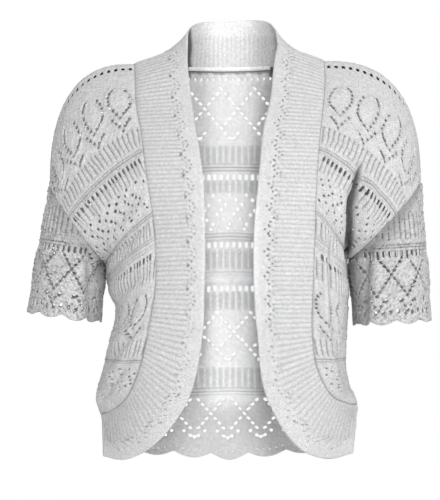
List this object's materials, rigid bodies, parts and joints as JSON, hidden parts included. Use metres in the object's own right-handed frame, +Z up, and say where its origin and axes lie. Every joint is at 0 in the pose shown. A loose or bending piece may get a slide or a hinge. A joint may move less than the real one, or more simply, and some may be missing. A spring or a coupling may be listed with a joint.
{
  "type": "knitted shrug",
  "caption": "Open-fronted knitted lace shrug with short sleeves, a ribbed front band and a stand-up collar, filled out as if worn.",
  "frame": {"origin": "inner face of the back neck seam at the nape, where the garment is held", "axes": "+Z up, from hem to neck; the open front faces -Y; +X to the viewer's right as the front is seen"},
  "size_m": [0.5311, 0.215, 0.5892],
  "materials": {
    "lace_knit": "pale grey lace knit in a soft dull yarn",
    "rib_knit": "pale grey rib knit in the same dull yarn",
    "neck_tape": "narrow woven tape in the garment's grey"
  },
  "bodies": {
    "root": {"back": "lace_knit", "front_left": "lace_knit", "front_right": "lace_knit", "sleeve_left_front": "lace_knit", "sleeve_left_back": "lace_knit", "sleeve_right_front": "lace_knit", "sleeve_right_back": "lace_knit", "band_left": "rib_knit", "band_right": "rib_knit", "collar": "rib_knit", "neck_tape": "neck_tape"}
  },
  "joints": []
}
